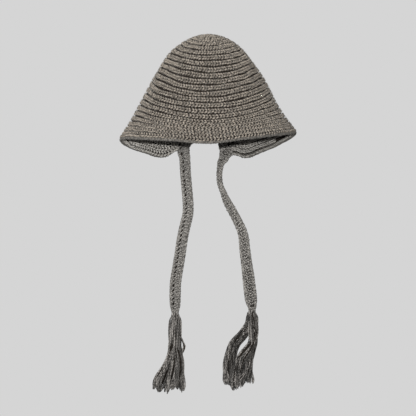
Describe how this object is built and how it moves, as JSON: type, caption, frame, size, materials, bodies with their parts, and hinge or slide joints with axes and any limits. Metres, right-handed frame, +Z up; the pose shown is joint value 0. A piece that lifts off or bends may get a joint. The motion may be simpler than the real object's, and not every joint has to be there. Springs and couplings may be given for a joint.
{
  "type": "knitted hat",
  "caption": "Bell-shaped ribbed knitted hat with a flared brim, two flaps at the back hem and a long knitted tie with a tassel on each.",
  "frame": {"origin": "the point inside the crown where the top of a head sits; the hat hangs from it", "axes": "+Z up out of the crown, the hat's front faces -Y, +X runs along its widest way, side to side"},
  "size_m": [0.3198, 0.2776, 0.6703],
  "materials": {
    "hat_knit": "matte marled wool, chunky knit",
    "tie_knit": "matte marled wool, knitted strap",
    "tassel_yarn": "matte loose wool yarn"
  },
  "bodies": {
    "root": {"bell": "hat_knit", "hem_edging": "hat_knit", "tie_left": "tie_knit", "tie_right": "tie_knit", "binding_left": "tassel_yarn", "binding_right": "tassel_yarn", "tassel_left": "tassel_yarn", "tassel_right": "tassel_yarn"}
  },
  "joints": []
}
